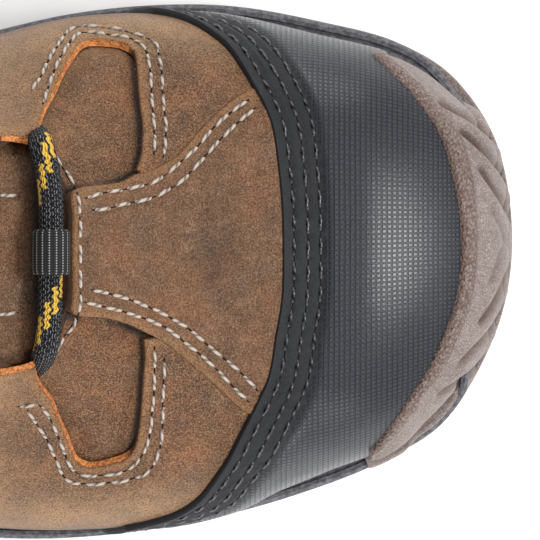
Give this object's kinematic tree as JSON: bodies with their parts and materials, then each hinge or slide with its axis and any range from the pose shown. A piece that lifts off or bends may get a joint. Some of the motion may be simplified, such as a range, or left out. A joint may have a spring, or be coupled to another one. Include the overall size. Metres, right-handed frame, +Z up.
{
  "type": "composite toe work boot",
  "caption": "Right lace-up work boot with a hollow leather upper, black toe cap, rubber toe bumper and a lugged sole.",
  "frame": {"origin": "middle of the boot's box on the floor it stands on", "axes": "+X towards the toe, +Y towards the inner side of the right foot, +Z up"},
  "size_m": [0.312, 0.1179, 0.1731],
  "materials": {
    "brown_leather": "oiled, slightly scuffed",
    "under_leather": "oiled, darker",
    "cap_leather": "coated, embossed with a fine grid",
    "bumper_rubber": "matte, pebbled edge and slanted ridges",
    "tread_rubber": "matte",
    "midsole_foam": "matte",
    "footbed": "brushed",
    "lace_cord": "braided",
    "eyelet_metal": "dark, satin"
  },
  "bodies": {
    "root": {"outsole": "tread_rubber", "midsole": "midsole_foam", "insole": "footbed", "upper": "under_leather", "toe_cap": "cap_leather", "toe_bumper": "bumper_rubber", "vamp_panel": "brown_leather", "quarter_inner": "brown_leather", "quarter_outer": "brown_leather", "back_strip": "brown_leather", "tongue": "brown_leather", "lace_keeper": "lace_cord", "lace_bar": "lace_cord", "lace_cross_1": "lace_cord", "lace_cross_2": "lace_cord", "lace_cross_3": "lace_cord", "eyelet_inner_1": "eyelet_metal", "eyelet_inner_2": "eyelet_metal", "eyelet_inner_3": "eyelet_metal", "eyelet_inner_4": "eyelet_metal", "eyelet_outer_1": "eyelet_metal", "eyelet_outer_2": "eyelet_metal", "eyelet_outer_3": "eyelet_metal", "eyelet_outer_4": "eyelet_metal"}
  },
  "joints": []
}
